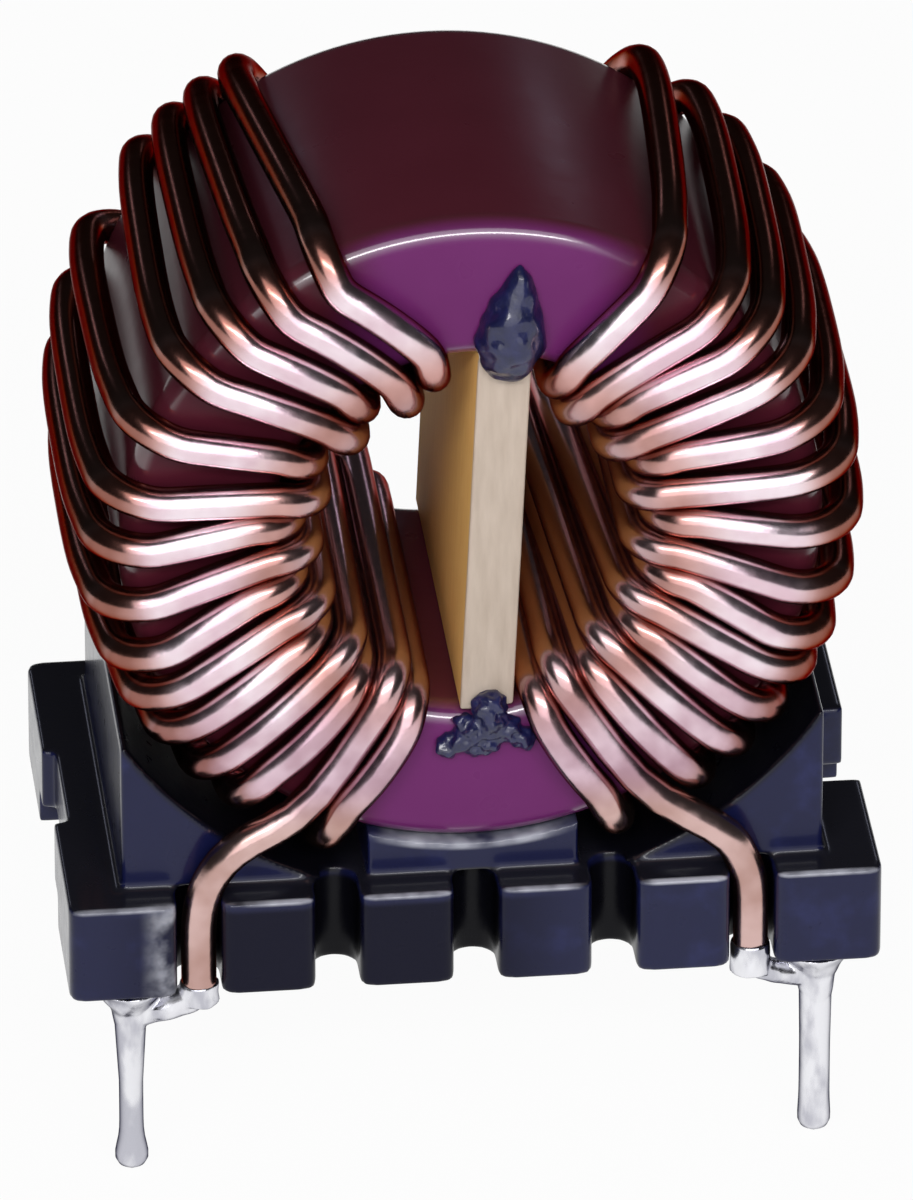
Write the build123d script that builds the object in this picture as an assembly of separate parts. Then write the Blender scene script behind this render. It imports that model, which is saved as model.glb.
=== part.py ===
# Two-winding toroidal choke: a coated ring core stands on edge in a pinned header, with one
# winding on each half of the ring and an insulating board between the two.
# Millimetres. X runs along the header's front, Y from front to rear, Z up from the pin tips.
import math
import os

from build123d import *

# Pins and their grid
pin_pitch_x = 20.32
pin_pitch_y = 12.70
pin_d = 1.00
pin_reach = 6.35  # from the header's feet down to the tips
pin_tip = 0.30  # chamfer of the tip
pin_root = 0.72  # side of the square root
pin_root_depth = 2.20  # root inside the header
pin_fit = 0.01  # each side of the root in its hole

# Header: a slotted plate that carries a saddle for the core and a cheek on each side
header_length = 24.00
header_depth = 14.80
plate_height = 3.10
slot_pitch = 4.08
slot_width = 1.30
slot_depth = 1.90
slot_steps = (-2, -1, 0, 1, 2)
tooth_r = 0.38  # upright edges of the teeth
arch_depth = 6.20  # raised stretch of the underside, between the rows of feet
arch_height = 1.10
notch_width = 4.05
left_notch = 0.40
right_notch = 1.60
cheek_half = 10.35  # header's middle to the cheek's outer wall
cheek_height = 4.80  # above the plate
cheek_gap = 0.27  # cheek to the windings
saddle_half = 3.10
saddle_floor = 1.00  # plate to the lowest point of the saddle

# Core
core_od = 20.60
core_id = 11.70
core_depth = 12.50
core_edge_r = 0.70
core_fit = 0.03  # core to saddle

# Wire and the run of its turns. Angles are degrees from the top of the ring, down each side.
wire_d = 0.98
wire_sides = 8
wire_gap = 0.03  # wire to core, and wire to wire where one lies on another
loose_share = 0.255  # how far a turn stands off the core's outer edges, of the wire's thickness
outer_bow = 0.30  # how much further it stands off at mid depth
stagger_share = 0.56  # every second turn lies this much deeper in the bore, of the wire's thickness
bow_share = 0.24  # half of the bowed stretch, of the core's depth
bend_points = 2  # corners that take the wire, and the core's own outline, round each edge
turn_pitch = 10.0

# Each turn's step from the one above it, in the bore, and its lean across the front, in pitches
left_first_turn = 12.0
left_step_shares = (1.09, 1.30, 1.00, 1.42, 1.18, 0.97, 0.99, 1.03, 1.02, 1.00, 1.05, 1.00)
left_lean_shares = (1.25, 1.15, 0.76, 0.73, 0.58, 0.65, 0.62, 0.70, 0.67, 0.45, 0.20, 0.00, -0.20, -0.50)
right_first_turn = 26.5
right_step_shares = (0.96, 0.97, 1.00, 1.01, 1.02, 1.02, 0.93, 0.93, 0.93, 0.93, 0.93, 0.93)
right_lean_shares = (0.53, 0.80, 0.61, 0.45, 0.50, 0.41, 0.46, 0.64, 0.64, 0.38, 0.27, 0.12, 0.00, -0.40)

# Each turn's slant along the outside, from front to rear, in pitches
left_slant_shares = (0.72, 0.38, 0.12, -0.10, 0.18, -0.05, 0.05, 0.10, 0.10, 0.10, 0.10, 0.10, 0.18, 0.18)
right_slant_shares = (0.35, 0.15, 0.20, 0.40, 0.45, 0.40, 0.35, 0.30, 0.30, 0.30, 0.30, 0.30, 0.18, 0.18)
lead_step_share = 0.93  # bore step to the front lead, and from it to the last turn

# Leads: the front one crosses the face to its slot, the rear one climbs over the back of the turns
lead_bend_share = 0.975  # where the front lead leaves the face, of the core's outer radius
lead_bend_step_share = -0.15  # its step there from its place in the bore, in pitches
lead_drop_share = 0.40  # its knee between the core and the plate, of the cheek's height
lead_knee_share = 0.90  # how far out the knee is, of the slot's place
under_gap = 0.04  # lead to the underside of the corner block
lead_end_gap = 0.22  # lead's end to the pin
slot_exit_share = 0.30  # height of the lead's last bend in the slot, of the plate's height
rear_climb_share = 0.70  # first knee of the rear lead, of the cheek's height
rear_radius_shares = (1.17, 1.05, 0.92, 0.82, 0.73, 0.65)  # of the core's outer radius
rear_angle_shares = (0.00, 0.12, 0.31, 0.53, 0.76, 0.94)  # of the way from the slot to the first turn
rear_start_angle = 131.0

# Insulating board in the bore
board_thickness = 1.55
board_offset = 0.66  # its middle to the core's axis
board_lean = 2.6
board_fit = 0.03  # its ends to the bore

# Glue on the front face, over the board's two ends
glue_height = 0.75
top_glue_width = 2.10
top_glue_length = 3.70
top_glue_tilt = 7.0
drop_radius_shares = (0.45, 0.80, 1.00, 0.92, 0.62, 0.36)  # of its half width
drop_height_shares = (0.00, 0.12, 0.30, 0.50, 0.72, 0.90)  # of its length
bottom_glue_width = 2.70
bottom_glue_length = 2.40
glue_lap = 0.45  # over the end of the board
lobe_share = 0.62  # each lobe of the bottom blob, of its width and length

# Solder
solder_reach = 1.40  # below the header's feet
solder_r = 0.98
solder_belly_share = 0.62
solder_coat = 0.10

overrun = 1.00  # how far a cutting solid runs past what it cuts
same_place = 0.01  # two places closer than this are one

# Levels and radii that follow from the sizes above
wire_r = wire_d / 2
outer_loose = loose_share * wire_d
bore_stagger = stagger_share * wire_d
core_r = core_od / 2
bore_r = core_id / 2
face_y = core_depth / 2
seat_z = pin_reach
plate_z = seat_z + plate_height
axis_z = plate_z + saddle_floor + core_fit + core_r
wire_y = face_y + wire_gap + wire_r
layer = wire_d + wire_gap
off_core = core_r + wire_gap + wire_r + outer_loose
cheek_r = off_core + outer_bow + wire_r + cheek_gap
pin_places = {
    "front_left": (-1, -1),
    "front_right": (1, -1),
    "rear_left": (-1, 1),
    "rear_right": (1, 1),
}


def slot_cut(x, side):
    """Plan of one wire slot: straight sides and a round end."""
    end_y = header_depth / 2 - slot_depth + slot_width / 2
    run = header_depth / 2 + overrun - end_y
    straight = Pos(x, side * (end_y + run / 2)) * Rectangle(slot_width, run)
    return straight + Pos(x, side * end_y) * Circle(slot_width / 2)


def plate_plan():
    plan = Rectangle(header_length, header_depth)
    for step in slot_steps:
        for side in (-1, 1):
            plan -= slot_cut(step * slot_pitch, side)
    for side, depth in ((-1, left_notch), (1, right_notch)):
        plan -= Pos(side * header_length / 2) * Rectangle(2 * depth, notch_width)
    front = [v for v in plan.vertices() if abs(abs(v.Y) - header_depth / 2) < same_place]
    return fillet(front, tooth_r)


def header():
    plate = Pos(Z=seat_z) * extrude(plate_plan(), plate_height)
    arch = Pos(Z=seat_z) * Box(header_length + overrun, arch_depth, 2 * arch_height)
    upright = Plane.XZ
    cheeks = Pos(0, plate_z + cheek_height / 2) * Rectangle(2 * cheek_half, cheek_height)
    cheeks -= Pos(0, axis_z) * Circle(cheek_r)
    rim = axis_z - math.sqrt((core_r + core_fit) ** 2 - saddle_half**2) - plate_z
    saddle = Pos(0, plate_z + rim / 2) * Rectangle(2 * saddle_half, rim)
    saddle -= Pos(0, axis_z) * Circle(core_r + core_fit)
    body = plate - arch
    body += extrude(upright * cheeks, face_y, both=True)
    body += extrude(upright * saddle, face_y, both=True)
    hole = pin_root + 2 * pin_fit
    for side_x, side_y in pin_places.values():
        place = Pos(side_x * pin_pitch_x / 2, side_y * pin_pitch_y / 2, seat_z)
        body -= place * Box(hole, hole, 2 * (pin_root_depth + pin_fit))
    return body


def edge_points(outer, rear, off):
    """Corners of the rounded edge of the core's section, moved out by an offset, in the order of a turn."""
    quarter = {(False, False): 180, (True, False): 270, (True, True): 0, (False, True): 90}[outer, rear]
    middle_r = core_r - core_edge_r if outer else bore_r + core_edge_r
    middle_y = face_y - core_edge_r if rear else core_edge_r - face_y
    half = 90 / bend_points / 2
    reach = (core_edge_r + off) / math.cos(math.radians(half))
    points = []
    for i in range(bend_points):
        a = math.radians(quarter + half * (2 * i + 1))
        points.append((middle_r + reach * math.cos(a), middle_y + reach * math.sin(a)))
    return points


def core():
    """Ring about an axis along Y, its four edges rounded in flats."""
    corners = []
    for outer, rear in ((False, False), (True, False), (True, True), (False, True)):
        corners += edge_points(outer, rear, 0)
    return Pos(Z=axis_z) * revolve(make_face(Polyline(*corners, close=True)), Axis.Y)


def pin():
    """A round leg under a square root, standing on its tip at the origin."""
    leg_length = pin_reach - solder_reach
    leg = Cylinder(pin_d / 2, leg_length, align=(Align.CENTER, Align.CENTER, Align.MIN))
    leg = chamfer(leg.edges().sort_by(Axis.Z)[0], pin_tip)
    root_length = solder_reach + pin_root_depth
    root = Box(pin_root, pin_root, root_length, align=(Align.CENTER, Align.CENTER, Align.MIN))
    return leg + Pos(Z=leg_length) * root


def on_ring(side, radius, angle, y):
    """A point at an angle down one side of the ring."""
    a = math.radians(angle)
    return Vector(side * radius * math.sin(a), y, axis_z + radius * math.cos(a))


def bend(side, angle, outer, rear, lift=0.0, dip=0.0):
    """Points that take the wire round one edge of the core, in the order of a turn."""
    away = lift if rear else -lift
    out = outer_loose if outer else -dip
    corners = edge_points(outer, rear, wire_gap + wire_r)
    return [on_ring(side, radius + out, angle, y + away) for radius, y in corners]


def outside_run(side, start, end):
    """The bowed stretch along the core's outside, from front to rear."""
    radius = off_core + outer_bow
    third = (end - start) / 3
    return [
        on_ring(side, radius, start + third, -bow_share * core_depth),
        on_ring(side, radius, end - third, bow_share * core_depth),
    ]


def under_run(side_x, side_y):
    """A lead's soldered end, from the slot under the corner block to the pin."""
    slot_x = side_x * max(slot_steps) * slot_pitch
    low_z = seat_z - under_gap - wire_r
    pin_x = side_x * pin_pitch_x / 2
    end_x = pin_x - side_x * (pin_root / 2 + lead_end_gap)
    pin_y = side_y * pin_pitch_y / 2
    return [
        Vector(slot_x, side_y * wire_y, seat_z + slot_exit_share * plate_height),
        Vector(slot_x, side_y * wire_y, low_z),
        Vector(slot_x + side_x * wire_d, side_y * (wire_y + pin_pitch_y / 2) / 2, low_z),
        Vector(end_x, pin_y, low_z),
    ]


def front_lead(side, angle):
    """From the bore across the face, down past the cheek, into the slot and under to the pin."""
    leave = angle + lead_bend_step_share * turn_pitch
    slot_x = side * max(slot_steps) * slot_pitch
    knee_z = plate_z + lead_drop_share * cheek_height
    return [
        on_ring(side, lead_bend_share * core_r, leave, -wire_y),
        Vector(lead_knee_share * slot_x, -wire_y - wire_r / 2, knee_z),
        Vector(slot_x, -wire_y, plate_z),
    ] + under_run(side, -1)


def rear_lead(side, first_turn):
    """From the pin up through the rear slot and over the back of the turns to the top."""
    slot_x = side * max(slot_steps) * slot_pitch
    points = list(reversed(under_run(side, 1)))
    points.append(Vector(slot_x, wire_y, plate_z + wire_d))
    points.append(Vector(slot_x, wire_y + layer / 2, plate_z + rear_climb_share * cheek_height))
    for radius, share in zip(rear_radius_shares, rear_angle_shares):
        angle = rear_start_angle + share * (first_turn - rear_start_angle)
        points.append(on_ring(side, radius * core_r, angle, wire_y + layer))
    return points


def winding_route(side, first_turn, step_shares, lean_shares, slant_shares):
    """Corner points of the whole wire, from the rear pin to the front pin.

    The turns go down one side of the ring. The last one passes the front lead's place,
    and its way back to that place lies over the turn before it.
    """
    bore = [first_turn]
    for share in step_shares:
        bore.append(bore[-1] + share * turn_pitch)
    lead = bore[-1] + lead_step_share * turn_pitch
    dips = [bore_stagger * (i % 2) for i in range(len(bore))] + [0.0, bore_stagger]
    bore += [lead + lead_step_share * turn_pitch, lead]
    route = rear_lead(side, first_turn)
    route += bend(side, bore[0], outer=False, rear=True, lift=layer, dip=dips[0])
    last = len(lean_shares) - 1
    for i, (lean, slant) in enumerate(zip(lean_shares, slant_shares)):
        front = bore[i] + lean * turn_pitch
        rear = front + slant * turn_pitch
        lift = layer if i == last else 0.0
        route += bend(side, bore[i], outer=False, rear=False, dip=dips[i])
        route += bend(side, front, outer=True, rear=False)
        route += outside_run(side, front, rear)
        route += bend(side, rear, outer=True, rear=True, lift=lift)
        route += bend(side, bore[i + 1], outer=False, rear=True, lift=lift, dip=dips[i + 1])
    route += bend(side, lead, outer=False, rear=False, dip=dips[-1])
    return route + front_lead(side, lead)


def wire_along(route, radius):
    """Wire of many-sided section along straight runs, mitred at each corner."""
    runs = [(end - start).normalized() for start, end in zip(route, route[1:])]
    first = Plane(origin=route[0], z_dir=runs[0])
    around = [math.radians(360 * i / wire_sides) for i in range(wire_sides)]
    ring = [first.from_local_coords((radius * math.cos(a), radius * math.sin(a), 0)) for a in around]
    rings = [ring]
    for i, run in enumerate(runs):
        corner = route[i + 1]
        mitre = run + runs[min(i + 1, len(runs) - 1)]
        ring = [point + run * ((corner - point).dot(mitre) / run.dot(mitre)) for point in ring]
        rings.append(ring)
    faces = [Face(Wire.make_polygon(ring)) for ring in (rings[0], rings[-1])]
    for near, far in zip(rings, rings[1:]):
        for i in range(wire_sides):
            corners = [near[i - 1], near[i], far[i], far[i - 1]]
            faces.append(Face(Wire.make_polygon(corners)))
    return Solid(Shell(faces))


def board():
    """Upright board across the bore, its ends rounded to the bore and leaning a little."""
    blank = Box(board_thickness, core_depth, core_id)
    blank = Pos(board_offset, 0, axis_z) * Rot(Y=board_lean) * blank
    bore = Pos(Z=axis_z) * Rot(X=90) * Cylinder(bore_r - board_fit, core_depth)
    return blank & bore


def board_end(up):
    """Where the middle of the board's front edge meets the bore, at its top or bottom."""
    x = board_offset + up * bore_r * math.sin(math.radians(board_lean))
    return x, axis_z + up * math.sqrt(bore_r**2 - x**2)


def cap(radius):
    """A low dome of glue on the front face, centred on the face's axis."""
    ball_r = (radius**2 + glue_height**2) / (2 * glue_height)
    keep = Pos(Y=-ball_r) * Box(2 * ball_r, 2 * ball_r, 2 * ball_r)
    return Pos(Y=-face_y) * (Pos(Y=ball_r - glue_height) * Sphere(ball_r) & keep)


def top_glue():
    """A drop that was drawn up off the board's top end, turned about its own length."""
    x, z = board_end(1)
    half = top_glue_width / 2
    outline = [(0, 0)]
    outline += [(r * half, h * top_glue_length) for r, h in zip(drop_radius_shares, drop_height_shares)]
    outline.append((0, top_glue_length))
    drop = revolve(make_face(Plane.XZ * Polyline(*outline, close=True)), Axis.Z)
    keep = Pos(Y=-half) * Box(2 * top_glue_length, 2 * half, 2 * top_glue_length + overrun)
    return Pos(x, -face_y, z - glue_lap) * Rot(Y=top_glue_tilt) * (drop & keep)


def bottom_glue():
    """A splayed blob over the board's foot: one dome on the board and two below it."""
    x, z = board_end(-1)
    body_r = lobe_share * bottom_glue_width / 2
    foot_r = lobe_share * bottom_glue_length / 2
    top_z = z + glue_lap
    blob = Pos(x, 0, top_z - body_r) * cap(body_r)
    for side in (-1, 1):
        away = side * (bottom_glue_width / 2 - foot_r)
        blob += Pos(x + away, 0, top_z - bottom_glue_length + foot_r) * cap(foot_r)
    return blob


def solder(side_x, side_y, wire, leg):
    """Solder round a pin's root and along the lead's end, cut to fit both."""
    belly_z = -solder_belly_share * solder_reach
    belly_r = solder_r * solder_belly_share + pin_d / 4
    outline = [(0, 0), (solder_r, 0), (belly_r, belly_z), (pin_d / 2, -solder_reach), (0, -solder_reach)]
    lump = revolve(make_face(Plane.XZ * Polyline(*outline, close=True)), Axis.Z)
    lump = Pos(side_x * pin_pitch_x / 2, side_y * pin_pitch_y / 2, seat_z) * lump
    coat_r = wire_r + solder_coat
    run = under_run(side_x, side_y)[1:]
    run[0] += (run[0] - run[1]).normalized() * coat_r
    coat = wire_along(run, coat_r)
    above = Pos(Z=seat_z) * Box(
        header_length + overrun, header_depth + overrun, plate_height, align=(Align.CENTER, Align.CENTER, Align.MIN)
    )
    return lump + coat - above - wire - leg


def main():
    nodes = {"base": header(), "toroid_core": core(), "divider": board()}
    nodes["top_glue"] = top_glue()
    nodes["bottom_glue"] = bottom_glue()
    left = winding_route(-1, left_first_turn, left_step_shares, left_lean_shares, left_slant_shares)
    right = winding_route(1, right_first_turn, right_step_shares, right_lean_shares, right_slant_shares)
    windings = {-1: wire_along(left, wire_r), 1: wire_along(right, wire_r)}
    nodes["left_winding"] = windings[-1]
    nodes["right_winding"] = windings[1]
    for name, (side_x, side_y) in pin_places.items():
        leg = Pos(side_x * pin_pitch_x / 2, side_y * pin_pitch_y / 2) * pin()
        nodes[name + "_pin"] = leg
        nodes[name + "_solder"] = solder(side_x, side_y, windings[side_x], leg)
    os.makedirs("parts", exist_ok=True)
    for name, solid in nodes.items():
        export_step(solid, f"parts/{name}.step")


main()
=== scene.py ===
# %% [markdown]
# # A toroidal choke on its pinned header
# The part is a ring core that stands on edge, with a copper winding on each half, a board between
# them and a black moulded header below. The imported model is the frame: every piece made here goes
# where its CAD node is, in metres, and rides on the one body that a part without joints has.

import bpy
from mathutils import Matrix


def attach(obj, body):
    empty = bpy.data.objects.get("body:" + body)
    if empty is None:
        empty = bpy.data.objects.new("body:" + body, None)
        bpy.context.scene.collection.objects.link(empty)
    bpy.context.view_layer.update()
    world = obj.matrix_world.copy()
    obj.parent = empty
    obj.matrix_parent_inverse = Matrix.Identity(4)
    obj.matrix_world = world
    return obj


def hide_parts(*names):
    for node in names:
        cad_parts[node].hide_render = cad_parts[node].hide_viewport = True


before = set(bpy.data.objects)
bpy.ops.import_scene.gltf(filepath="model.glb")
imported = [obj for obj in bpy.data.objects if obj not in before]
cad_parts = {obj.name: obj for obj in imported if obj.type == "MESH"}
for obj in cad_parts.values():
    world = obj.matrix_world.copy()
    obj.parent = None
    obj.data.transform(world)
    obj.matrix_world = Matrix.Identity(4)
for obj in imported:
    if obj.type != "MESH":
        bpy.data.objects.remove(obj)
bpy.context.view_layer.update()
print("nodes", sorted(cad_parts))

# %% [markdown]
# ## Shared sizes
# Several pieces and finishes need the same few sizes, and these are those of the CAD source. X runs
# along the header's front, Y from front to rear and Z up from the pin tips.

# %% Sizes of the core, the header and the pins
import math
import bpy
from mathutils import Vector, noise

mm = 0.001
axis_z = 20.78 * mm
core_r = 10.30 * mm
bore_r = 5.85 * mm
core_depth = 12.50 * mm
core_edge_r = 0.70 * mm
face_y = core_depth / 2
header_half = 12.0 * mm
seat_z = 6.35 * mm
plate_height = 3.10 * mm
plate_z = seat_z + plate_height
cheek_height = 4.80 * mm
slot_x = 2 * 4.08 * mm
pin_x = 20.32 * mm / 2
pin_y = 12.70 * mm / 2
print("core axis at", axis_z, "plate at", plate_z)

# %% [markdown]
# ## Camera
# The view was fitted to the outlines of the core, the header and the pins: from about 30 degrees
# above, and 6 degrees to the left of the front. A long lens half a metre away gives the weak
# perspective of the picture. The lens follows from how many pixels a millimetre takes there.

# %% Set the camera
image_width = 913
pixels_per_mm = 33.87
camera_distance = 500 * mm
camera_yaw = math.radians(6.13)
camera_elevation = math.radians(29.93)
aim = Vector((0.18, 0.0, 15.06)) * mm
sensor = 36.0
forward = Vector((
    math.sin(camera_yaw) * math.cos(camera_elevation),
    math.cos(camera_yaw) * math.cos(camera_elevation),
    -math.sin(camera_elevation),
))
turn = forward.to_track_quat("-Z", "Y").to_euler()
bpy.ops.object.camera_add(location=aim - camera_distance * forward, rotation=turn)
camera = bpy.context.active_object
camera.data.sensor_fit = "HORIZONTAL"
camera.data.sensor_width = sensor
camera.data.lens = sensor * pixels_per_mm * (camera_distance / mm) / image_width
camera.data.clip_start = 10 * mm
camera.data.clip_end = 20.0
bpy.context.scene.camera = camera
bpy.context.scene.view_settings.view_transform = "Standard"
print("lens", round(camera.data.lens, 1))

# %% [markdown]
# ## Two tools for finishes
# Shader sums are easier to read as Python. `Link` wraps an output socket, so that an expression adds
# its Math nodes by itself. `Finish` is one material, and its `node` method is the only way that a
# node is added: first the settings, then the values or links of its sockets.

# %% Socket wrapper
class Link:
    """An output socket that can stand in a Python sum."""

    def __init__(self, finish, socket):
        self.finish = finish
        self.socket = socket

    def sum(self, operation, *values):
        settings = {"operation": operation}
        return self.finish.node("ShaderNodeMath", settings, dict(enumerate(values)))

    def __add__(self, other):
        return self.sum("ADD", self, other)

    def __sub__(self, other):
        return self.sum("SUBTRACT", self, other)

    def __rsub__(self, other):
        return self.sum("SUBTRACT", other, self)

    def __mul__(self, other):
        return self.sum("MULTIPLY", self, other)

    def __pow__(self, other):
        return self.sum("POWER", self, other)

    def __abs__(self):
        return self.sum("ABSOLUTE", self)

    __radd__ = __add__
    __rmul__ = __mul__


print("wrapper", Link.__name__)

# %% [markdown]
# A mask is a number that is 1 where a tint belongs and 0 elsewhere. `rise`, `fall` and `band` make
# masks from a place on the part, with soft edges that are given in millimetres. `layers` then lays
# one tint after another over the ground colour, each where its mask is.

# %% Material maker
class Finish:
    """One procedural material on Object coordinates."""

    def __init__(self, name, **constants):
        self.material = bpy.data.materials.new(name)
        self.material.use_nodes = True
        self.tree = self.material.node_tree
        self.shader = self.tree.nodes["Principled BSDF"]
        for socket, value in constants.items():
            self.shader.inputs[socket.replace("_", " ")].default_value = value
        self.place = self.node("ShaderNodeTexCoord", output="Object")

    def node(self, kind, settings=None, sockets=None, output=0):
        made = self.tree.nodes.new(kind)
        for name, value in (settings or {}).items():
            setattr(made, name, value)
        for key, value in (sockets or {}).items():
            if isinstance(value, Link):
                self.tree.links.new(value.socket, made.inputs[key])
            else:
                made.inputs[key].default_value = value
        return Link(self, made.outputs[output])

    def axis(self, name):
        return self.node("ShaderNodeSeparateXYZ", sockets={0: self.place}, output=name)

    def from_axis(self):
        """Distance from the ring's axis."""
        return (self.axis("X") ** 2.0 + (self.axis("Z") - axis_z) ** 2.0) ** 0.5

    def drawn_out(self, share):
        """Coordinates on which a pattern is stretched along the height."""
        sockets = {"Vector": self.place, "Scale": (1.0, 1.0, share)}
        return self.node("ShaderNodeMapping", sockets=sockets)

    def noise(self, scale, detail=2.0, place=None):
        sockets = {"Vector": place or self.place, "Scale": scale, "Detail": detail}
        return self.node("ShaderNodeTexNoise", sockets=sockets)

    def blend(self, factor, first, second):
        settings = {"data_type": "RGBA"}
        sockets = {"Factor": factor, 6: first, 7: second}
        return self.node("ShaderNodeMix", settings, sockets, output=2)

    def layers(self, ground, *tints):
        """Tints over a ground colour, each a mask and a colour."""
        for mask, tint in tints:
            ground = self.blend(mask, ground, tint)
        return ground

    def step(self, value, low, high):
        """0 below low, 1 above high, smooth between."""
        settings = {"interpolation_type": "SMOOTHSTEP"}
        return self.node("ShaderNodeMapRange", settings, {"Value": value, 1: low, 2: high})

    def rise(self, value, low, high):
        """0 below low, 1 above high, in millimetres."""
        return self.step(value, low * mm, high * mm)

    def fall(self, value, low, high):
        """1 below low, 0 above high, in millimetres."""
        return 1.0 - self.rise(value, low, high)

    def band(self, value, low, full, still, gone):
        """1 from full to still, 0 outside low and gone, in millimetres."""
        return self.rise(value, low, full) * self.fall(value, still, gone)

    def feed(self, **links):
        for socket, link in links.items():
            self.tree.links.new(link.socket, self.shader.inputs[socket.replace("_", " ")])

    def bump(self, height, strength, distance):
        sockets = {"Height": height, "Strength": strength, "Distance": distance}
        self.feed(Normal=self.node("ShaderNodeBump", sockets=sockets))


def colour(red, green, blue):
    return (red, green, blue, 1.0)


print("maker", Finish.__name__)

# %% [markdown]
# ## Finish of the wire
# Winding wire is bright copper under clear enamel, and at the bends it shows its plain, browner colour.
# Along the middle of each front run it is painted pale as a highlight. The flanks down in the grooves
# between the strands and the runs round the outside are painted dark as shade, the turns in the bore a
# greyer tone for their dim light, and the turns low on the ring redder as shade. The leads are redder.

# %% Enamelled copper
copper = Finish("enamelled_copper", Metallic=1.0, Specular_Tint=colour(0.26, 0.07, 0.06))
wire_height = copper.axis("Z")
wire_depth = abs(copper.axis("Y"))
wire_out = copper.from_axis()
patches = copper.step(copper.noise(420, 3.0), 0.35, 0.68)
bent = copper.blend(patches, colour(0.46, 0.24, 0.21), colour(0.69, 0.40, 0.37))
painted_highlight = copper.blend(patches, colour(0.80, 0.57, 0.65), colour(0.99, 0.86, 0.92))
low_turn_shade = copper.blend(patches, colour(0.46, 0.28, 0.34), colour(0.78, 0.57, 0.66))
lead_tint = copper.blend(patches, colour(0.50, 0.30, 0.26), colour(0.72, 0.50, 0.47))
wire_tint = copper.layers(
    bent,
    # Painted highlight: the middle of each front run is painted pale.
    (copper.band(wire_out, 6.0, 7.9, 9.3, 10.4), painted_highlight),
    # Painted shade: the turns low on the ring are painted darker and redder.
    (copper.fall(wire_height, 12.6, 17.5), low_turn_shade),
    # Painted shade: the flanks of the strands, down towards the core, are painted dark.
    (0.8 * copper.band(wire_depth, 5.9, 6.3, 6.78, 7.24), colour(0.27, 0.10, 0.07)),
    # Painted shade: the runs round the outside are painted dark, as they reflect the dim room.
    (copper.rise(wire_out, 10.5, 10.95) * copper.fall(wire_depth, 5.7, 6.5), colour(0.22, 0.13, 0.11)),
    # Painted shade: the turns in the bore are painted a greyer, bluer tone for their dim light.
    (copper.fall(wire_out, 4.7, 5.9), colour(0.56, 0.39, 0.40)),
    (copper.fall(wire_height, 11.6, 13.4), lead_tint),
)
copper.feed(Base_Color=wire_tint, Roughness=0.13 + 0.18 * copper.noise(2600, 2.0))
copper.bump(copper.noise(5200, 2.0), 0.12, 0.02 * mm)
print("finish", copper.material.name)

# %% [markdown]
# ## Finish of the core
# The ring is dipped or sprayed with a maroon coating. It is smooth, with a faint orange-peel surface.
# Its flat faces are painted lighter and more purple than the round outside, as lit by the front light,
# and the face is painted darker under the windings as shade. The rounded rim is glossy, so that it
# catches a line of light.

# %% Core coating
maroon = Finish("core_coating", Specular_IOR_Level=0.2, Coat_IOR=1.9, Coat_Roughness=0.13)
coat_depth = abs(maroon.axis("Y"))
from_board = abs(maroon.axis("X") - 0.5 * mm)
face_clouds = maroon.noise(320, 3.0)
# Painted light: the open flat face is lighter and more purple than the round outside, as lit by the
# front light.
lit_face = maroon.blend(face_clouds, colour(0.138, 0.015, 0.118), colour(0.172, 0.026, 0.152))
# Painted shade: the face under the windings is painted dark maroon.
shaded_face = maroon.blend(face_clouds, colour(0.060, 0.007, 0.014), colour(0.085, 0.011, 0.024))
# The round outside is the darker, shaded copy of the same coat.
round_side = maroon.blend(
    maroon.noise(260, 3.0), colour(0.085, 0.013, 0.022), colour(0.115, 0.020, 0.034)
)
flat_face = maroon.layers(lit_face, (maroon.rise(from_board, 2.8, 5.0), shaded_face))
maroon.feed(
    Base_Color=maroon.layers(round_side, (maroon.rise(coat_depth, 5.6, 6.2), flat_face)),
    Roughness=0.24 + 0.12 * maroon.noise(900),
    Coat_Weight=maroon.band(coat_depth, 5.4, 5.7, 6.12, 6.24),
)
maroon.bump(maroon.noise(1500, 2.0), 0.10, 0.05 * mm)
print("finish", maroon.material.name)

# %% [markdown]
# ## Finish of the header
# The header is moulded from black thermoset. Its upright faces are painted navy for the bluish sheen of
# the front light. The middle teeth, the slots, the top of the plate and the cradle round the windings
# are painted near-black as shade, and the middle teeth and the slots are less glossy. A painted
# highlight lies as a grey line along the front edges and on the saddle, and a light grey patch lies
# beside the left front slot.

# %% Places on the header
black = Finish("header_plastic", Specular_IOR_Level=0.15, Coat_Roughness=0.12)
header_x, header_y, header_z = (black.axis(name) for name in "XYZ")
off_middle = abs(header_x)
header_out = black.from_axis()
in_plate = black.fall(header_z, 9.05, 9.30)
# Painted shade: the middle teeth under the winding are painted near-black.
shaded_teeth = black.fall(abs(header_x + 4.0 * mm), 3.6, 7.6) * in_plate
# Painted shade: the slots are painted near-black.
slot_shade = black.fall(abs(header_y), 6.90, 7.25) * black.fall(off_middle, 8.9, 9.3) * in_plate
# Painted shade: the top faces of the plate are painted near-black.
top_shade = black.band(header_z, 9.36, 9.42, 9.52, 9.62)
# Painted shade: the cradle walls round the windings are painted near-black.
cradle_shade = black.fall(header_out, 12.15, 12.40) * black.rise(off_middle, 3.3, 4.2) * (1.0 - in_plate)
# Painted highlight: grey lines along the top front edges and the saddle rim.
plate_rim = black.band(header_z, 9.28, 9.38, 9.46, 9.50) * black.fall(header_y, -7.30, -7.18)
saddle_rim = black.fall(header_out, 10.46, 10.62) * black.fall(off_middle, 1.6, 3.4)
edge_highlight = (plate_rim + saddle_rim) * black.step(black.noise(480, 3.0), 0.34, 0.62)
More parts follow.
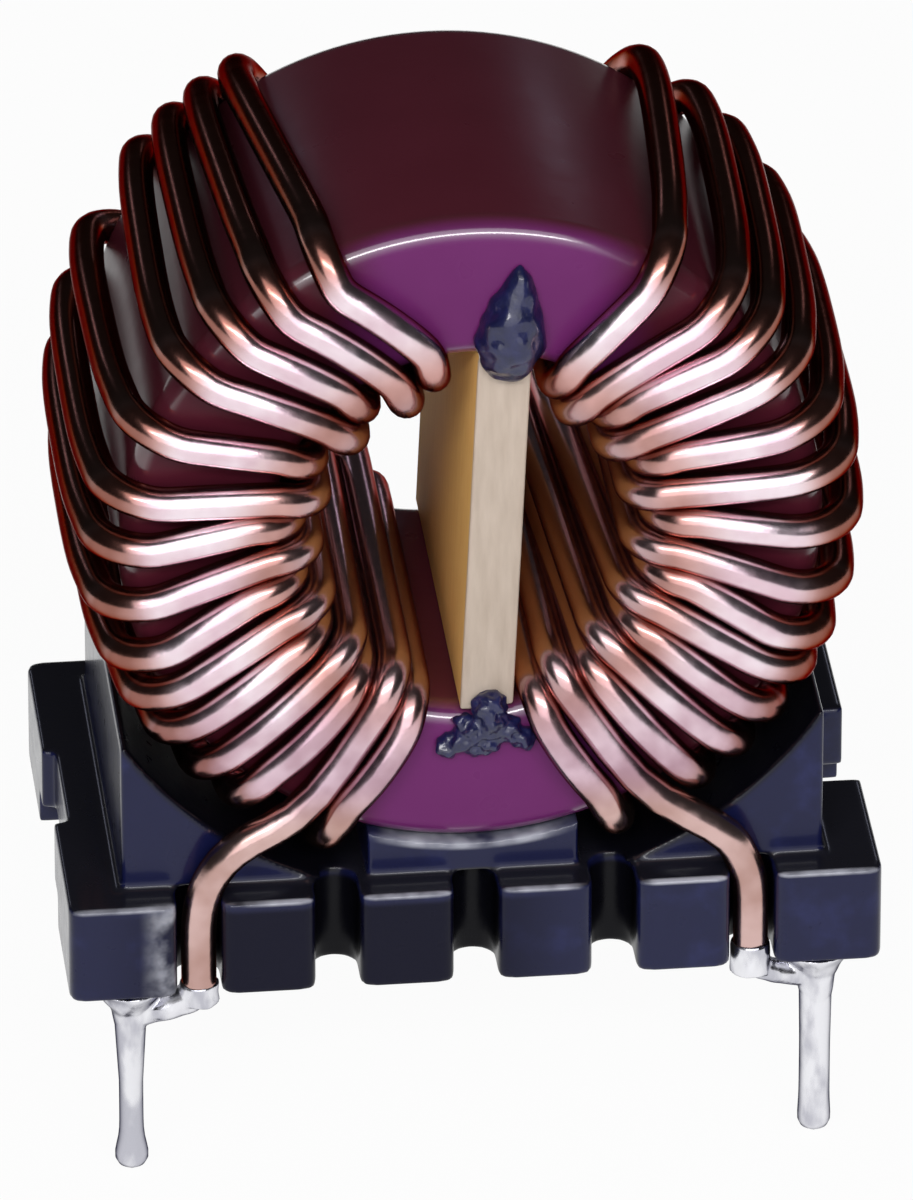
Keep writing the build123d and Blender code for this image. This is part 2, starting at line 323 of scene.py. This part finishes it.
# A light grey patch beside the left front slot.
beside_slot = black.band(header_x, -10.0, -9.1, -8.9, -8.8) * black.fall(header_y, -7.3, -7.0)
light_patch = beside_slot * black.step(black.noise(620, 4.0), 0.40, 0.62)
print("places on", black.material.name)

# %% Black header plastic
dust = black.step(black.noise(700, 4.0), 0.50, 0.75)
# Painted light: the black plastic is painted navy for the bluish sheen of the front light.
header_tint = black.layers(
    black.blend(dust, colour(0.006, 0.008, 0.046), colour(0.015, 0.019, 0.086)),
    (shaded_teeth, colour(0.004, 0.004, 0.016)),
    (slot_shade, colour(0.002, 0.002, 0.004)),
    (top_shade, colour(0.011, 0.011, 0.017)),
    (cradle_shade, colour(0.003, 0.003, 0.006)),
    (edge_highlight, colour(0.42, 0.43, 0.49)),
    (light_patch, colour(0.42, 0.43, 0.48)),
)
black.feed(
    Base_Color=header_tint,
    Roughness=0.20 + 0.22 * black.noise(1400, 3.0),
    Coat_Weight=0.4 * (1.0 - 0.9 * shaded_teeth) * (1.0 - slot_shade),
)
black.bump(black.noise(3800, 3.0), 0.18, 0.03 * mm)
print("finish", black.material.name)

# %% [markdown]
# ## Finishes of the small pieces
# The board is tan pressed fibre, streaked along its height. Its cut edges are paler than its faces,
# which are painted a deeper gold for the light thrown on them from the copper.
# The glue is a blue-black resin that dried with a lumpy, glossy skin. The pins and the joints are dipped
# in tin and slightly waved. The side that faces out is painted bright as a highlight and the inner side
# dark as shade.

# %% Board
board_tan = Finish("fibre_board", Specular_IOR_Level=0.25)
fibres = board_tan.noise(4200, 4.0, board_tan.drawn_out(0.16))
cut_edge = board_tan.blend(fibres, colour(0.46, 0.37, 0.29), colour(0.70, 0.59, 0.49))
# Painted light: the tan faces are deepened to gold for the light from the copper.
gold_lit_face = board_tan.blend(fibres, colour(0.86, 0.46, 0.12), colour(1.00, 0.64, 0.22))
on_board_face = board_tan.fall(abs(board_tan.axis("Y")), 6.0, 6.25)
board_tan.feed(
    Base_Color=board_tan.layers(cut_edge, (on_board_face, gold_lit_face)),
    Roughness=0.62 + 0.2 * fibres,
)
board_tan.bump(fibres, 0.35, 0.05 * mm)
print("finish", board_tan.material.name)

# %% Glue
resin = Finish(
    "blue_black_glue",
    Specular_IOR_Level=0.3,
    Coat_Weight=0.6,
    Coat_IOR=1.6,
    Coat_Roughness=0.10,
)
lumps = resin.noise(2400, 4.0)
resin.feed(
    Base_Color=resin.blend(lumps, colour(0.002, 0.003, 0.016), colour(0.016, 0.020, 0.110)),
    Roughness=0.22 + 0.35 * lumps,
)
resin.bump(lumps, 0.6, 0.12 * mm)
print("finish", resin.material.name)

# %% Tin
tin = Finish("bright_tin", Metallic=1.0, Specular_Tint=colour(0.10, 0.10, 0.12))
# Painted light: the side that faces out is painted bright, the inner side dark.
lit_side = tin.rise(abs(tin.axis("Y")) - pin_y, -0.02, 0.36)
waves = tin.step(tin.noise(1300, 3.0, tin.drawn_out(0.4)), 0.36, 0.60)
bright = tin.blend(waves, colour(0.54, 0.54, 0.60), colour(0.90, 0.90, 0.94))
tin.feed(
    Base_Color=tin.blend(lit_side, colour(0.20, 0.20, 0.24), bright),
    Roughness=0.16 + 0.16 * waves,
)
tin.bump(waves, 0.2, 0.05 * mm)
print("finish", tin.material.name)

# %% [markdown]
# ## Handling pieces
# Operators act on all that is selected, so every helper first clears the selection. `settle` gives a
# made piece its finish, hides the CAD node that it stands for and lets it ride on the body.

# %% Helpers for pieces
def pick(piece):
    bpy.ops.object.select_all(action="DESELECT")
    piece.select_set(True)
    bpy.context.view_layer.objects.active = piece


def apply_modifier(piece, kind, **settings):
    pick(piece)
    modifier = piece.modifiers.new(kind.lower(), kind)
    for name, value in settings.items():
        setattr(modifier, name, value)
    bpy.ops.object.modifier_apply(modifier=modifier.name)


def settle(piece, name, finish, slot, *nodes):
    piece.name = name
    pick(piece)
    bpy.ops.object.transform_apply(location=True, rotation=True, scale=True)
    piece.data.materials.clear()
    piece.data.materials.append(finish.material)
    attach(piece, "root")
    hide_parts(*nodes)
    print(name, "faces", len(piece.data.polygons))


def copy_of(node):
    """A merged copy of a CAD node's mesh, as a piece of its own."""
    piece = bpy.data.objects.new(node + "_copy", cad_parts[node].data.copy())
    bpy.context.scene.collection.objects.link(piece)
    pick(piece)
    bpy.ops.object.mode_set(mode="EDIT")
    bpy.ops.mesh.select_all(action="SELECT")
    bpy.ops.mesh.remove_doubles(threshold=0.001 * mm)
    bpy.ops.object.mode_set(mode="OBJECT")
    return piece


print("helpers ready")

# %% [markdown]
# ## Making and joining raw shapes
# `solid` adds a primitive and puts its place into its mesh, `rod` sweeps a round section along a line
# of points, and `join` makes one piece of several.

# %% Helpers for raw shapes
def solid(add, **settings):
    bpy.ops.object.select_all(action="DESELECT")
    add(**settings)
    bpy.ops.object.transform_apply(location=True, rotation=True, scale=True)
    return bpy.context.active_object


def rod(points, kind, radius, roundness):
    """A round rod along a line of points, smoothed if the kind is NURBS, as a mesh."""
    bpy.ops.object.select_all(action="DESELECT")
    bpy.ops.curve.primitive_nurbs_path_add()
    path = bpy.context.active_object
    path.data.splines.clear()
    spline = path.data.splines.new(kind)
    spline.points.add(len(points) - 1)
    for point, place in zip(spline.points, points):
        point.co = (*place, 1.0)
    if kind == "NURBS":
        spline.order_u = 3
        spline.use_endpoint_u = True
        path.data.resolution_u = 3
    path.data.bevel_depth = radius
    path.data.bevel_resolution = roundness
    path.data.use_fill_caps = True
    bpy.ops.object.convert(target="MESH")
    return bpy.context.active_object


def join(pieces):
    bpy.ops.object.select_all(action="DESELECT")
    for piece in pieces:
        piece.select_set(True)
    bpy.context.view_layer.objects.active = pieces[0]
    bpy.ops.object.join()
    return pieces[0]


print("raw shapes ready")

# %% [markdown]
# ## Core
# A ring of rounded rectangular section is turned, not drawn: one plane becomes the section, its
# corners are bevelled round, and a spin about the ring's axis makes the rest.

# %% Spin the core
ring_steps = 160
corner_segments = 6

bpy.ops.object.select_all(action="DESELECT")
bpy.ops.mesh.primitive_plane_add(size=1.0, location=((core_r + bore_r) / 2, 0, axis_z))
core_ring = bpy.context.active_object
core_ring.scale = (core_r - bore_r, core_depth, 1.0)
bpy.ops.object.transform_apply(location=True, rotation=False, scale=True)
bpy.ops.object.mode_set(mode="EDIT")
bpy.ops.mesh.select_all(action="SELECT")
bpy.ops.mesh.bevel(offset=core_edge_r, segments=corner_segments, affect="VERTICES")
bpy.ops.mesh.select_all(action="SELECT")
bpy.ops.mesh.delete(type="ONLY_FACE")
bpy.ops.mesh.select_all(action="SELECT")
bpy.ops.mesh.spin(steps=ring_steps, angle=2 * math.pi, center=(0, 0, axis_z), axis=(0, 1, 0))
bpy.ops.mesh.select_all(action="SELECT")
bpy.ops.mesh.remove_doubles(threshold=0.001 * mm)
bpy.ops.mesh.normals_make_consistent(inside=False)
bpy.ops.object.mode_set(mode="OBJECT")
bpy.ops.object.shade_smooth_by_angle(angle=math.radians(40))
settle(core_ring, "core_ring", maroon, "core_coating", "toroid_core")

# %% [markdown]
# ## Windings
# Each winding is one length of wire. Its line is worked out turn by turn: through the bore, across the
# front, along the outside with a loose bow and back across the rear. A NURBS curve smooths the line
# and a round bevel gives the wire its thickness. The places of the turns are those of the CAD source.
# The wire is shown a little thicker than its line allows for, as thick as it looks in the picture.

# %% Sizes of the wire
wire_d = 0.98 * mm
wire_r = wire_d / 2
shown_r = 0.52 * mm
wire_gap = 0.03 * mm
wire_clear = wire_gap + wire_r
wire_y = face_y + wire_gap + wire_r
layer = 0.97 * mm
outer_loose = 0.24 * mm
outer_bow = 0.22 * mm
outer_bend = 1.70 * mm
front_bow = 0.15 * mm
bore_stagger = 0.55 * mm
turn_pitch = 10.0
print("wire", wire_d, "face", wire_y)

# %% Line of the wire round the core
edge_steps = 5
bow_steps = (0.15, 0.32, 0.5, 0.68, 0.85)
face_steps = (0.25, 0.5, 0.75)
first_degree = {(False, False): 180, (True, False): 270, (True, True): 0, (False, True): 90}


def on_ring(side, radius, angle, y):
    a = math.radians(angle)
    return Vector((side * radius * math.sin(a), y, axis_z + radius * math.cos(a)))


def round_edge(side, angle, outer, rear, lift=0.0, sunk=0.0):
    """Points that take the wire round one edge of the core, in the order of a turn."""
    if outer:
        bend_r = outer_bend
        middle_r = core_r + wire_clear + outer_loose - bend_r
    else:
        bend_r = core_edge_r + wire_clear
        middle_r = bore_r - wire_clear - sunk + bend_r
    middle_y = wire_y + lift - bend_r
    points = []
    for i in range(edge_steps):
        a = math.radians(first_degree[outer, rear] + 90 * i / (edge_steps - 1))
        y = (middle_y if rear else -middle_y) + bend_r * math.sin(a)
        points.append(on_ring(side, middle_r + bend_r * math.cos(a), angle, y))
    return points


def outside_run(side, start, end):
    """The bowed stretch along the outside, from front to rear."""
    points = []
    for t in bow_steps:
        bow = outer_bow * (1 - (2 * t - 1) ** 4)
        y = (2 * t - 1) * (wire_y - outer_bend)
        radius = core_r + wire_clear + outer_loose + bow
        points.append(on_ring(side, radius, start + t * (end - start), y))
    return points


def front_run(side, start, end, sunk):
    """The bowed stretch across the front face, from the bore to the outside."""
    inner_r = bore_r - sunk + core_edge_r
    outer_r = core_r + wire_clear + outer_loose - outer_bend
    points = []
    for t in face_steps:
        radius = inner_r + t * (outer_r - inner_r)
        y = -wire_y - 4 * t * (1 - t) * front_bow
        points.append(on_ring(side, radius, start + t * (end - start), y))
    return points


print("turn of", 4 * edge_steps + len(bow_steps) + len(face_steps), "points")

# %% [markdown]
# The front lead crosses the face, bends at a knee beside the cheek and goes down its slot. The rear lead
# climbs from its slot over the back of the turns to the first one. Both end at the foot of the slot,
# where the solder takes over.

# %% Leads to the pins
lead_end_z = seat_z - wire_r + 0.16 * mm
slot_bend_z = seat_z + 0.30 * plate_height
slot_mouth_z = plate_z - 0.5 * mm
leave_r = 0.975 * core_r
leave_step = -0.15 * turn_pitch
knee_proud = 0.18 * mm
entry_proud = 0.05 * mm
entry_drop = 1.1 * mm
entry_share = 0.3
climb_z = plate_z + 0.70 * cheek_height
rear_start = 131.0
rear_radius_shares = (1.17, 1.05, 0.92, 0.82, 0.73, 0.65)
rear_angle_shares = (0.00, 0.12, 0.31, 0.53, 0.76, 0.94)


def slot_run(side_x, side_y):
    """The end of a lead, down its slot."""
    return [Vector((side_x * slot_x, side_y * wire_y, z)) for z in (slot_bend_z, lead_end_z)]


def front_lead(side, angle, knee, knee_x):
    """Across the face, down past the cheek to the knee and into the slot."""
    knee_z = plate_z + knee
    entry_x = slot_x - entry_share * knee_x
    return [
        on_ring(side, leave_r, angle + leave_step, -wire_y),
        Vector((side * (slot_x - knee_x), -wire_y - knee_proud, knee_z)),
        Vector((side * entry_x, -wire_y - entry_proud, knee_z - entry_drop)),
        Vector((side * slot_x, -wire_y, slot_mouth_z)),
    ] + slot_run(side, -1)


def rear_lead(side, first_turn):
    """From the pin up through the rear slot and over the back of the turns to the top."""
    points = list(reversed(slot_run(side, 1)))
    points.append(Vector((side * slot_x, wire_y, plate_z + wire_d)))
    points.append(Vector((side * slot_x, wire_y + layer / 2, climb_z)))
    for radius_share, angle_share in zip(rear_radius_shares, rear_angle_shares):
        angle = rear_start + angle_share * (first_turn - rear_start)
        points.append(on_ring(side, radius_share * core_r, angle, wire_y + layer))
    return points


print("lead points", len(front_lead(1, 150.0, mm, mm)), len(rear_lead(1, 10.0)))

# %% [markdown]
# A winding is told by its first angle in the bore, the steps to the next turns, and each turn's lean
# across the front and slant along the outside, all in pitches of ten degrees. Every second turn lies
# deeper in the bore. Low in the bore the turns are crowded at the rear, and `tuck` is how much deeper
# they lie there.

# %% Whole line of one winding
lead_step = 0.93 * turn_pitch
crowded_from = 100
crowded_to = 146


def winding_line(side, first_turn, steps, leans, slants, tuck, knee, knee_x):
    """From the rear pin to the front pin. The last turn passes the lead's place and comes back."""
    bore = [first_turn]
    for step in steps:
        bore.append(bore[-1] + step * turn_pitch)
    lead = bore[-1] + lead_step
    sunk = [bore_stagger * (i % 2) for i in range(len(bore))] + [0.0, bore_stagger]
    bore += [lead + lead_step, lead]
    line = rear_lead(side, first_turn)
    line += round_edge(side, bore[0], False, True, layer, sunk[0])
    for i, (lean, slant) in enumerate(zip(leans, slants)):
        front = bore[i] + lean * turn_pitch
        rear = front + slant * turn_pitch
        lift = layer if i == len(leans) - 1 else 0.0
        line += round_edge(side, bore[i], False, False, 0.0, sunk[i])
        line += front_run(side, bore[i], front, sunk[i])
        line += round_edge(side, front, True, False)
        line += outside_run(side, front, rear)
        line += round_edge(side, rear, True, True, lift)
        crowded = crowded_from < bore[i + 1] < crowded_to and lift == 0.0
        deeper = tuck if crowded else 0.0
        line += round_edge(side, bore[i + 1], False, True, lift, sunk[i + 1] + deeper)
    line += round_edge(side, lead, False, False, 0.0, sunk[-1])
    return line + front_lead(side, lead, knee, knee_x)


def wind(name, node, line):
    piece = rod(line, "NURBS", shown_r, 7)
    bpy.ops.object.shade_smooth_by_angle(angle=math.radians(60))
    settle(piece, name, copper, "copper_wire", node)


print("pitch", turn_pitch, "degrees")

# %% Wind the left half
left_line = winding_line(
    side=-1,
    first_turn=12.0,
    steps=(1.09, 1.30, 1.00, 1.42, 1.18, 0.97, 0.99, 1.03, 1.02, 1.00, 1.05, 1.00),
    leans=(1.25, 1.15, 0.76, 0.73, 0.58, 0.65, 0.62, 0.70, 0.67, 0.45, 0.20, 0.00, -0.20, -0.50),
    slants=(0.72, 0.38, 0.12, -0.10, 0.18, -0.05, 0.05, 0.10, 0.10, 0.10, 0.10, 0.10, 0.18, 0.18),
    tuck=0.10 * mm,
    knee=1.75 * mm,
    knee_x=1.15 * mm,
)
wind("left_wire", "left_winding", left_line)

# %% Wind the right half
right_line = winding_line(
    side=1,
    first_turn=26.5,
    steps=(0.96, 0.97, 1.00, 1.01, 1.02, 1.02, 0.93, 0.93, 0.93, 0.93, 0.93, 0.93),
    leans=(0.53, 0.80, 0.61, 0.45, 0.50, 0.41, 0.46, 0.64, 0.64, 0.38, 0.27, 0.12, 0.00, -0.40),
    slants=(0.35, 0.15, 0.20, 0.40, 0.45, 0.40, 0.35, 0.30, 0.30, 0.30, 0.30, 0.30, 0.18, 0.18),
    tuck=1.10 * mm,
    knee=1.35 * mm,
    knee_x=0.75 * mm,
)
wind("right_wire", "right_winding", right_line)

# %% [markdown]
# ## Header
# The CAD header has the right shape but knife-sharp edges, and a moulding never has those. A voxel skin
# over a copy of it is smoothed a few times, which rounds every edge and corner alike and leaves the
# flats where they are. Then the flats, which need few faces, are thinned out, and the ends are pressed
# back to the header's length.

# %% Round the header's edges
header_voxel = 0.10 * mm
header_rounds = 9
header_share = 0.22

header = copy_of("base")
apply_modifier(header, "REMESH", mode="VOXEL", voxel_size=header_voxel)
apply_modifier(header, "SMOOTH", factor=0.5, iterations=header_rounds)
apply_modifier(header, "DECIMATE", ratio=header_share)
for vertex in header.data.vertices:
    vertex.co.x = min(header_half, max(-header_half, vertex.co.x))
bpy.ops.object.shade_smooth()
settle(header, "moulded_header", black, "header_plastic", "base")

# %% [markdown]
# ## Board
# The board is cut from sheet, so its edges are only just broken. A fine bevel is enough.

# %% Break the board's edges
sharp = math.radians(35)
broken_edge = 0.07 * mm

card = copy_of("divider")
bpy.ops.object.mode_set(mode="EDIT")
bpy.ops.mesh.select_all(action="SELECT")
bpy.ops.mesh.dissolve_limited(angle_limit=math.radians(2))
bpy.ops.object.mode_set(mode="OBJECT")
apply_modifier(card, "BEVEL", width=broken_edge, segments=2, limit_method="ANGLE", angle_limit=sharp)
pick(card)
bpy.ops.object.shade_smooth_by_angle(angle=sharp)
settle(card, "insulating_board", board_tan, "board", "divider")

# %% [markdown]
# ## Glue
# Glue and solder set from a liquid, so they have no edges at all. `soften` puts one voxel skin round
# all that is in a piece, smooths it and makes it a little lumpy. The upper drop starts from the CAD
# solid. The lower blob starts from a heap of balls, because it splayed out in small lumps.

# %% Melt the blobs
def soften(piece, voxel, rounds, relief, grain):
    """One smooth skin round the piece, then lumps of that relief and grain."""
    apply_modifier(piece, "REMESH", mode="VOXEL", voxel_size=voxel)
    apply_modifier(piece, "SMOOTH", factor=0.5, iterations=rounds)
    places = []
    for vertex in piece.data.vertices:
        rise = relief * noise.noise(vertex.co / grain)
        places.append(vertex.co + rise * vertex.normal)
    for vertex, place in zip(piece.data.vertices, places):
        vertex.co = place
    bpy.ops.object.shade_smooth()


upper = copy_of("top_glue")
soften(upper, 0.06 * mm, 8, 0.10 * mm, 0.55 * mm)
settle(upper, "upper_glue_drop", resin, "glue", "top_glue")

# %% Heap the lower blob
ball_y = -face_y - 0.12 * mm
# X, Z and radius of each ball, in millimetres
balls = (
    (0.46, 15.10, 0.52),
    (0.52, 14.62, 0.54),
    (0.08, 14.34, 0.48),
    (0.98, 14.32, 0.46),
    (-0.36, 14.06, 0.42),
    (-0.80, 13.84, 0.36),
    (1.46, 13.98, 0.38),
    (0.46, 13.94, 0.38),
    (0.02, 13.78, 0.30),
    (-0.30, 14.62, 0.28),
)


def ball(x, z, radius):
    add = bpy.ops.mesh.primitive_ico_sphere_add
    return solid(add, subdivisions=3, radius=radius * mm, location=(x * mm, ball_y, z * mm))


lower = join([ball(*sizes) for sizes in balls])
soften(lower, 0.05 * mm, 5, 0.12 * mm, 0.26 * mm)
settle(lower, "lower_glue_blob", resin, "glue", "bottom_glue")

# %% [markdown]
# ## Solder
# A joint is a collar round the foot of the slot, a rod of solder along to the pin and a funnel round the
# pin. Melted into one skin they look like solder that flowed there.

# %% Flow the solder joints
sides = {"front_left": (-1, -1), "front_right": (1, -1), "rear_left": (-1, 1), "rear_right": (1, 1)}
# Way from the slot to the pin: shares along X and Y, and millimetres below the seat
solder_way = (
    (0.00, 0.0, 0.15),
    (0.14, 0.0, 0.38),
    (0.40, 0.3, 0.64),
    (0.72, 0.7, 0.86),
    (1.00, 1.0, 1.00),
)


def cone(x, y, low, high, low_r, high_r):
    """An upright cone. Heights are above the seat, and they and the radii are in millimetres."""
    place = (x, y, seat_z + (low + high) / 2 * mm)
    add = bpy.ops.mesh.primitive_cone_add
    sizes = {"radius1": low_r * mm, "radius2": high_r * mm, "depth": (high - low) * mm}
    return solid(add, vertices=40, location=place, **sizes)


def flow(corner, neck, thick, collar):
    """Solder from the slot along to the pin: rods and cones melted into one skin."""
    side_x, side_y = sides[corner]
    x = side_x * pin_x
    y = side_y * pin_y
    start = Vector((side_x * slot_x, side_y * wire_y, seat_z))
    way = []
    for share_x, share_y, drop in solder_way:
        way.append(start + Vector((share_x * (x - start.x), share_y * (y - start.y), -drop * mm)))
    joint = join([
        cone(start.x, start.y, -0.45, collar, 0.62, 0.57),
        rod(way, "POLY", thick * mm, 4),
        cone(x, y, -1.10, 0.0, 0.44, 1.08),
        cone(x, y, -1.80, -0.60, neck, 0.62),
    ])
    soften(joint, 0.05 * mm, 9, 0.05 * mm, 0.5 * mm)
    settle(joint, corner + "_joint", tin, "solder", corner + "_solder")


flow("front_left", neck=0.40, thick=0.46, collar=0.20)
flow("front_right", neck=0.48, thick=0.38, collar=0.55)
flow("rear_left", neck=0.46, thick=0.42, collar=0.40)
flow("rear_right", neck=0.46, thick=0.42, collar=0.30)

# %% [markdown]
# ## Pins
# A pin starts as a cylinder. Loops along its length, closer together near the tip, let the tin swell and
# draw in. The tip is a round drop, because the pins were dipped and pulled out downwards.

# %% Dip the pins
pin_length = 8.55 * mm
pin_r = 0.50 * mm
pin_loops = 24
drop_z = 0.45 * mm
drop_reach = 0.55 * mm
tip_reach = 0.46 * mm
even_from = 3.0 * mm
even_over = 2.5 * mm


def swell(z, waist, drop):
    """Share of the pin's radius at a height: a drop, a waist above it, then the plain pin."""
    share = waist + (drop - waist) * math.exp(-(((z - drop_z) / drop_reach) ** 2))
    share += (1 - share) * min(1.0, max(0.0, (z - even_from) / even_over))
    if z < drop_z:
        share *= math.sqrt(max(0.0, 1 - ((drop_z - z) / tip_reach) ** 2))
    return share


def dip(corner, waist, drop):
    side_x, side_y = sides[corner]
    place = (side_x * pin_x, side_y * pin_y, pin_length / 2)
    add = bpy.ops.mesh.primitive_cylinder_add
    piece = solid(add, vertices=32, radius=pin_r, depth=pin_length, location=place)
    bpy.ops.object.mode_set(mode="EDIT")
    for i in range(1, pin_loops):
        cut = (0, 0, pin_length * (i / pin_loops) ** 1.5)
        bpy.ops.mesh.select_all(action="SELECT")
        bpy.ops.mesh.bisect(plane_co=cut, plane_no=(0, 0, 1))
    bpy.ops.object.mode_set(mode="OBJECT")
    for vertex in piece.data.vertices:
        middle = Vector((side_x * pin_x, side_y * pin_y, vertex.co.z))
        vertex.co = middle + swell(vertex.co.z, waist, drop) * (vertex.co - middle)
    pick(piece)
    bpy.ops.object.shade_smooth_by_angle(angle=math.radians(50))
    settle(piece, corner + "_leg", tin, "tinned_pin", corner + "_pin")


dip("front_left", waist=0.72, drop=1.00)
dip("front_right", waist=0.92, drop=0.99)
dip("rear_left", waist=0.90, drop=0.98)
dip("rear_right", waist=0.92, drop=0.98)

# %% [markdown]
# ## Floor and light
# The part stands on a white floor that fills the picture. For camera, glossy and transmission rays the
# floor is mostly plain white, and the rest is lit, so that it keeps a soft shadow. A large soft lamp
# stands close to the camera, and a narrow strip above it draws the bright line along each strand. Two
# faint lamps behind the part edge its outline, and the room is dim.

# %% White floor
plain_share = 0.96

bpy.ops.object.select_all(action="DESELECT")
bpy.ops.mesh.primitive_plane_add(size=6.0, location=(0, 0, 0))
floor = bpy.context.active_object
floor.name = "floor"
paper = Finish("white_floor", Roughness=0.9, Specular_IOR_Level=0.0)
paper.shader.inputs["Base Color"].default_value = colour(0.90, 0.90, 0.90)
kinds = ("Is Camera Ray", "Is Glossy Ray", "Is Transmission Ray")
seen, mirrored, refracted = (paper.node("ShaderNodeLightPath", output=kind) for kind in kinds)
shown = seen + mirrored + refracted
shown = shown.sum("MINIMUM", shown, 1.0)
glow = paper.node("ShaderNodeEmission", sockets={"Color": colour(1, 1, 1), "Strength": 1.0})
lit = Link(paper, paper.shader.outputs[0])
mixed = paper.node("ShaderNodeMixShader", sockets={0: plain_share * shown, 1: lit, 2: glow})
paper.tree.links.new(mixed.socket, paper.tree.nodes["Material Output"].inputs["Surface"])
floor.data.materials.append(paper.material)
print("floor", floor.name)

# %% Lamps
def lamp(name, azimuth, elevation, distance, size, power, tint):
    """A soft lamp that looks at the part. Azimuth 0 is the front."""
    a = math.radians(azimuth)
    e = math.radians(elevation)
    away = Vector((math.sin(a) * math.cos(e), -math.cos(a) * math.cos(e), math.sin(e)))
    turn = (-away).to_track_quat("-Z", "Y").to_euler()
    bpy.ops.object.light_add(type="AREA", location=aim + distance * away, rotation=turn)
    made = bpy.context.active_object
    made.name = name
    made.data.shape = "RECTANGLE"
    made.data.size, made.data.size_y = size
    made.data.energy = power
    made.data.color = tint
    print("lamp", name)


cool = (0.75, 0.78, 1.0)
lamp("front_softbox", -6, 30, distance=0.60, size=(0.75, 0.66), power=2.6, tint=(0.97, 0.97, 1.0))
lamp("front_strip", -3, 37, distance=0.58, size=(0.55, 0.05), power=1.25, tint=(1.0, 0.99, 0.99))
lamp("left_rear_lamp", -158, 22, distance=0.60, size=(0.06, 0.06), power=0.025, tint=cool)
lamp("right_rear_lamp", 158, 22, distance=0.60, size=(0.06, 0.06), power=0.025, tint=cool)

# %% Room
room = bpy.data.worlds.new("dim_room")
bpy.context.scene.world = room
room.use_nodes = True
back = room.node_tree.nodes["Background"]
back.inputs["Color"].default_value = colour(0.92, 0.94, 1.0)
back.inputs["Strength"].default_value = 0.03
print("room", room.name)
